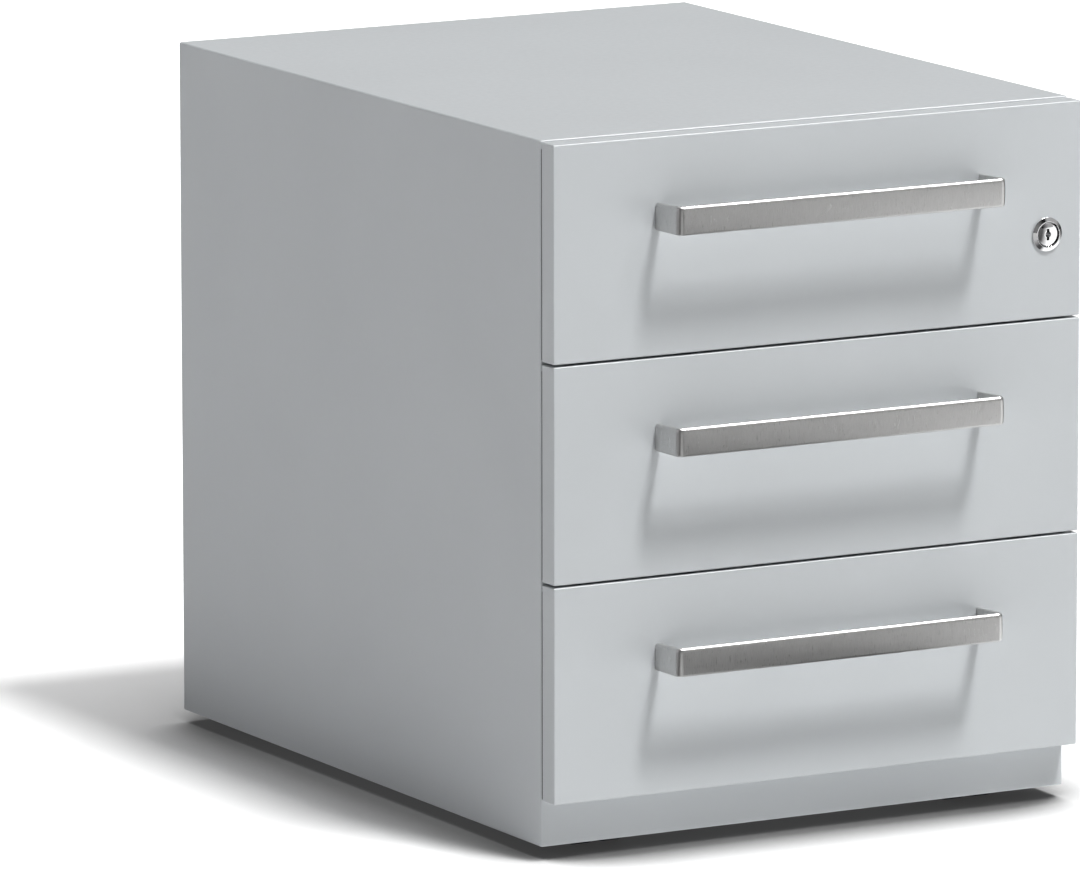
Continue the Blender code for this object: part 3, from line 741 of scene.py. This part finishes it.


# ---- fasteners, and dark strips painted as gap shade --------------------------------
def domed_head(name, radius, height, axis, place, reverse, recess=0.0):
    """A pan or rivet head standing on a surface, with a cross recess where one is given."""
    crown = ((0.55, 0.96), (0.82, 0.78), (0.96, 0.42))
    profile = [(0, height)] + [(radius * out, height * rise) for out, rise in crown]
    profile += [(radius, 0.05 * MM), (radius * 0.96, 0), (0, 0)]
    mesh = turned_mesh(name, profile, axis, place, 32, False, reverse)
    if recess:
        slot_half, sunk = 0.45 * MM, height * 0.6
        along = UP_TO[axis] * (-1 if reverse else 1)
        reach = Vector((abs(along.x), abs(along.y), abs(along.z))) * sunk
        middle = Vector(place) + along * height
        bars = []
        for arm in (UP_TO[key] for key in UP_TO if key != axis):
            half = Vector((slot_half,) * 3) + arm * (recess - slot_half)
            bars.append(box_mesh("recess", middle - half - reach, middle + half + reach))
        mesh = joined(mesh, bars)
    return smoothed(mesh)


def build_handle_screw(row, side, sign):
    """The screw inside the tray that holds one leg of a handle."""
    name = f"{row}_handle_screw_{side}"
    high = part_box(f"{row}_handle")[1]
    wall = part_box(f"{row}_front")[1].y + TRAY_GAP + SHEET
    leg_middle, below_top = 2 * MM, 11 * MM
    place = (sign * (high.x - leg_middle), wall, high.z - below_top)
    head = domed_head(name, 4 * MM, 2.2 * MM, "y", place, False, 2.2 * MM)
    piece(name, head, ZINC, f"{row}_drawer", "zinc_steel")


def build_rivets(row, side, sign):
    """The three rivets that join a tray's side to its inner slide member."""
    low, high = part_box(f"{row}_slide_inner_{side}")
    inner = -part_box(f"{row}_tray")[0].x - SHEET
    for number, share in enumerate((0.08, 0.5, 0.92)):
        name = f"{row}_rivet_{side}_{number + 1}"
        place = (sign * inner, low.y + (high.y - low.y) * share, (low.z + high.z) / 2)
        head = domed_head(name, 3.2 * MM, 1.3 * MM, "x", place, sign > 0)
        piece(name, head, ZINC, f"{row}_drawer", "zinc_steel")


def build_painted_gap_shade(row, side, sign):
    """A dark rubber strip on the carcass's front return, beside one end of a drawer front: painted
    shade that makes the gap there read black.
    """
    name = f"{row}_seal_{side}"
    low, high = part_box(f"{row}_front")
    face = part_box("carcass_shell")[0].y
    thick, foot, head, rounding = 1.1 * MM, 1 * MM, 5 * MM, 0.3 * MM
    inner, outer = 204.2 * MM, 209.4 * MM
    edges = sorted((sign * inner, sign * outer))
    painted_gap_shade = box_mesh(name, (edges[0], face - thick, low.z + foot),
                    (edges[1], face, high.z - head), rounding, 3)
    piece(name, painted_gap_shade, RUBBER, "carcass", "castor_yoke")


def build_castor_screws(row, side):
    """The four screws under one castor's plate."""
    low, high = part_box(f"castor_{row}_{side}_plate")
    middle = (low + high) / 2
    pitch_half, underside = 14 * MM, 48.5 * MM
    for number in range(4):
        across = pitch_half * (1 if number % 2 else -1)
        along = pitch_half * (1 if number // 2 else -1)
        name = f"castor_{row}_{side}_screw_{number + 1}"
        place = (middle.x + across, middle.y + along, underside)
        head = domed_head(name, 3.2 * MM, 1.9 * MM, "z", place, True, 1.7 * MM)
        piece(name, head, ZINC, "carcass", "zinc_steel")


def build_fasteners():
    """Handle screws, slide rivets, dark strips painted as shade in the gaps beside the fronts, and
    castor screws.
    """
    for row in DRAWERS:
        for side, sign in SIDES:
            build_handle_screw(row, side, sign)
            build_rivets(row, side, sign)
            build_painted_gap_shade(row, side, sign)
    for row in ENDS:
        for side, _ in SIDES:
            build_castor_screws(row, side)


build_carcass()
for drawer_row in DRAWERS:
    build_front(drawer_row)
    build_tray(drawer_row)
    build_handle(drawer_row)
    build_slides(drawer_row)
build_lock()
build_castors()
build_fasteners()


# ---- floor, light and camera --------------------------------------------------------
def tent(tree, place, out):
    """What polished metal sees around it: bright screens and dark gaps by compass angle. In the
    world it is light for glossy rays only; on the floor it is a painted reflection.
    """
    split = tree.nodes.new("ShaderNodeSeparateXYZ")
    tree.links.new(place, split.inputs["Vector"])
    back = tree.nodes.new("ShaderNodeMath")
    back.operation = "MULTIPLY"
    back.inputs[1].default_value = -1.0
    tree.links.new(split.outputs["Y"], back.inputs[0])
    angle = tree.nodes.new("ShaderNodeMath")
    angle.operation = "ARCTAN2"
    tree.links.new(split.outputs["X"], angle.inputs[0])
    tree.links.new(back.outputs["Value"], angle.inputs[1])
    turn = tree.nodes.new("ShaderNodeMapRange")
    turn.inputs["From Min"].default_value = -math.pi
    turn.inputs["From Max"].default_value = math.pi
    tree.links.new(angle.outputs["Value"], turn.inputs["Value"])
    ramp = tree.nodes.new("ShaderNodeValToRGB")
    stops = ramp.color_ramp.elements
    while len(stops) < len(SCREENS):
        stops.new(0.5)
    for stop, (degrees, level) in zip(stops, SCREENS):
        stop.position = (degrees + 180) / 360
        stop.color = (level, level, level, 1)
    tree.links.new(turn.outputs["Result"], ramp.inputs["Fac"])
    tree.links.new(ramp.outputs["Color"], out)


def build_floor():
    """A plain white floor, wide enough to fill every view. For the camera it carries a painted
    shadow close to the cabinet; in polished metal it shows the tent's screens as a painted
    reflection.
    """
    half_width = 60.0
    bm = bmesh.new()
    bmesh.ops.create_grid(bm, x_segments=1, y_segments=1, size=half_width)
    floor = bpy.data.objects.new("floor", mesh_from("floor", bm))
    bpy.context.scene.collection.objects.link(floor)
    paper = Finish("floor_white", 0.9)
    paper.shader.inputs["Specular IOR Level"].default_value = 0.2
    # Painted contact shadow, seen by the camera only: under the cabinet's edge the paper itself goes
    # dark; further out only its painted glow fades.
    contact, reach = 0.09, 0.24
    painted_contact_shadow = paper.ranged(paper.openness(contact), 0.09, 1.0, 0.46, 0.88)
    # beside: painted shade in the floor's glow near the cabinet, for camera rays only.
    beside = paper.ranged(paper.openness(reach), 0.17, 1.88, 0.54, 1.0)
    rays = paper.node("ShaderNodeLightPath")
    # For glossy rays the floor's colour and glow follow the tent's screens: a painted reflection of
    # bright screens and dark gaps, seen in polished metal.
    screens = paper.node("ShaderNodeMix", data_type="FLOAT")
    screens.inputs["A"].default_value = 1.0
    tent(paper.tree, paper.node("ShaderNodeNewGeometry").outputs["Position"], screens.inputs["B"])
    paper.link(rays.outputs["Is Glossy Ray"], screens.inputs["Factor"])
    level = paper.node("ShaderNodeMix", data_type="FLOAT")
    paper.link(rays.outputs["Is Camera Ray"], level.inputs["Factor"])
    paper.link(screens.outputs["Result"], level.inputs["A"])
    paper.link(painted_contact_shadow, level.inputs["B"])
    paper.colour(level.outputs["Result"], (0, 0, 0), (0.88, 0.88, 0.88), 0.0, 1.0)
    # The floor's painted glow: full in the open, faded near the cabinet for the camera, the screens'
    # pattern for glossy rays.
    painted_glow_level = paper.node("ShaderNodeMix", data_type="FLOAT")
    paper.link(rays.outputs["Is Camera Ray"], painted_glow_level.inputs["Factor"])
    paper.link(screens.outputs["Result"], painted_glow_level.inputs["A"])
    paper.link(beside, painted_glow_level.inputs["B"])
    painted_glow = paper.node("ShaderNodeMath", operation="MULTIPLY", name="painted_glow")
    paper.link(painted_glow_level.outputs["Result"], painted_glow.inputs[0])
    painted_glow.inputs[1].default_value = FLOOR_PAINTED_GLOW
    paper.link(painted_glow.outputs["Value"], paper.shader.inputs["Emission Strength"])
    paper.shader.inputs["Emission Color"].default_value = (*WHITE, 1)
    floor.data.materials.append(paper.material)


def sun(name, towards, strength, angle, gloss_only=False):
    """A distant soft light; 'towards' points from the object to the light.

    One that is gloss_only makes highlights and no diffuse light.
    """
    light = bpy.data.lights.new(name, "SUN")
    light.energy = strength
    light.angle = math.radians(angle)
    made = bpy.data.objects.new(name, light)
    made.rotation_euler = Vector(towards).to_track_quat("Z", "Y").to_euler()
    made.visible_diffuse = not gloss_only
    bpy.context.scene.collection.objects.link(made)


def softbox(name, position, target, size, power, tint=WHITE):
    """A rectangular area light aimed at a point."""
    light = bpy.data.lights.new(name, "AREA")
    light.color = tint
    light.shape = "RECTANGLE"
    light.size, light.size_y = size
    light.energy = power
    made = bpy.data.objects.new(name, light)
    made.location = position
    made.rotation_euler = (Vector(position) - Vector(target)).to_track_quat("Z", "Y").to_euler()
    bpy.context.scene.collection.objects.link(made)


def build_world(shown, cast, mirrored):
    """White for the camera, a dim white as light, and the tent's screens in polished metal."""
    world = bpy.data.worlds.new("studio")
    bpy.context.scene.world = world
    world.use_nodes = True
    tree = world.node_tree
    background = tree.nodes["Background"]
    levels = {"cast": cast, "mirrored": mirrored, "shown": shown}
    layers = {}
    for name, strength in levels.items():
        layer = background if name == "cast" else tree.nodes.new("ShaderNodeBackground")
        layer.name = name
        layer.inputs["Color"].default_value = (*WHITE, 1)
        layer.inputs["Strength"].default_value = strength
        layers[name] = layer
    tent(tree, tree.nodes.new("ShaderNodeTexCoord").outputs["Generated"],
         layers["mirrored"].inputs["Color"])
    rays = tree.nodes.new("ShaderNodeLightPath")
    result = layers["cast"].outputs["Background"]
    for ray, name in (("Is Glossy Ray", "mirrored"), ("Is Camera Ray", "shown")):
        mix = tree.nodes.new("ShaderNodeMixShader")
        tree.links.new(rays.outputs[ray], mix.inputs["Fac"])
        tree.links.new(result, mix.inputs[1])
        tree.links.new(layers[name].outputs["Background"], mix.inputs[2])
        result = mix.outputs["Shader"]
    tree.links.new(result, tree.nodes["World Output"].inputs["Surface"])


def build_camera():
    """The main view: a long lens from the front left, looking 10 degrees down."""
    data = bpy.data.cameras.new("camera")
    data.lens = 369.58
    data.sensor_width = 36.0
    data.clip_end = 200.0
    made = bpy.data.objects.new("camera", data)
    place = (-3.8199, -6.74865, 1.6448)
    azimuth, pitch, roll = math.radians(29.021), math.radians(10.274), math.radians(-0.074)
    turn = Euler((math.pi / 2 - pitch, 0, -azimuth)).to_matrix().to_4x4()
    made.matrix_world = Matrix.Translation(place) @ turn @ Matrix.Rotation(roll, 4, "Z")
    bpy.context.scene.collection.objects.link(made)
    bpy.context.scene.camera = made


build_floor()
sun("key", (0.36, -0.84, 1.96), 3.35, 10.5)
sun("overhead", (0.0, 0.0, 1.0), 0.6, 60)
sun("edge", (0.485, -0.36, 0.80), 3.2, 9, gloss_only=True)
softbox("left", (-6.0, -0.5, 2.2), (0, 0, 0.25), (3.0, 3.0), 26, (1.0, 0.95, 1.0))
softbox("glint", (0.5, -0.95, 1.45), (0, -0.29, 0.3), (0.2, 0.35), 2.4)
build_world(shown=1.0, cast=0.01, mirrored=0.42)
build_camera()
bpy.context.scene.view_settings.view_transform = "Standard"
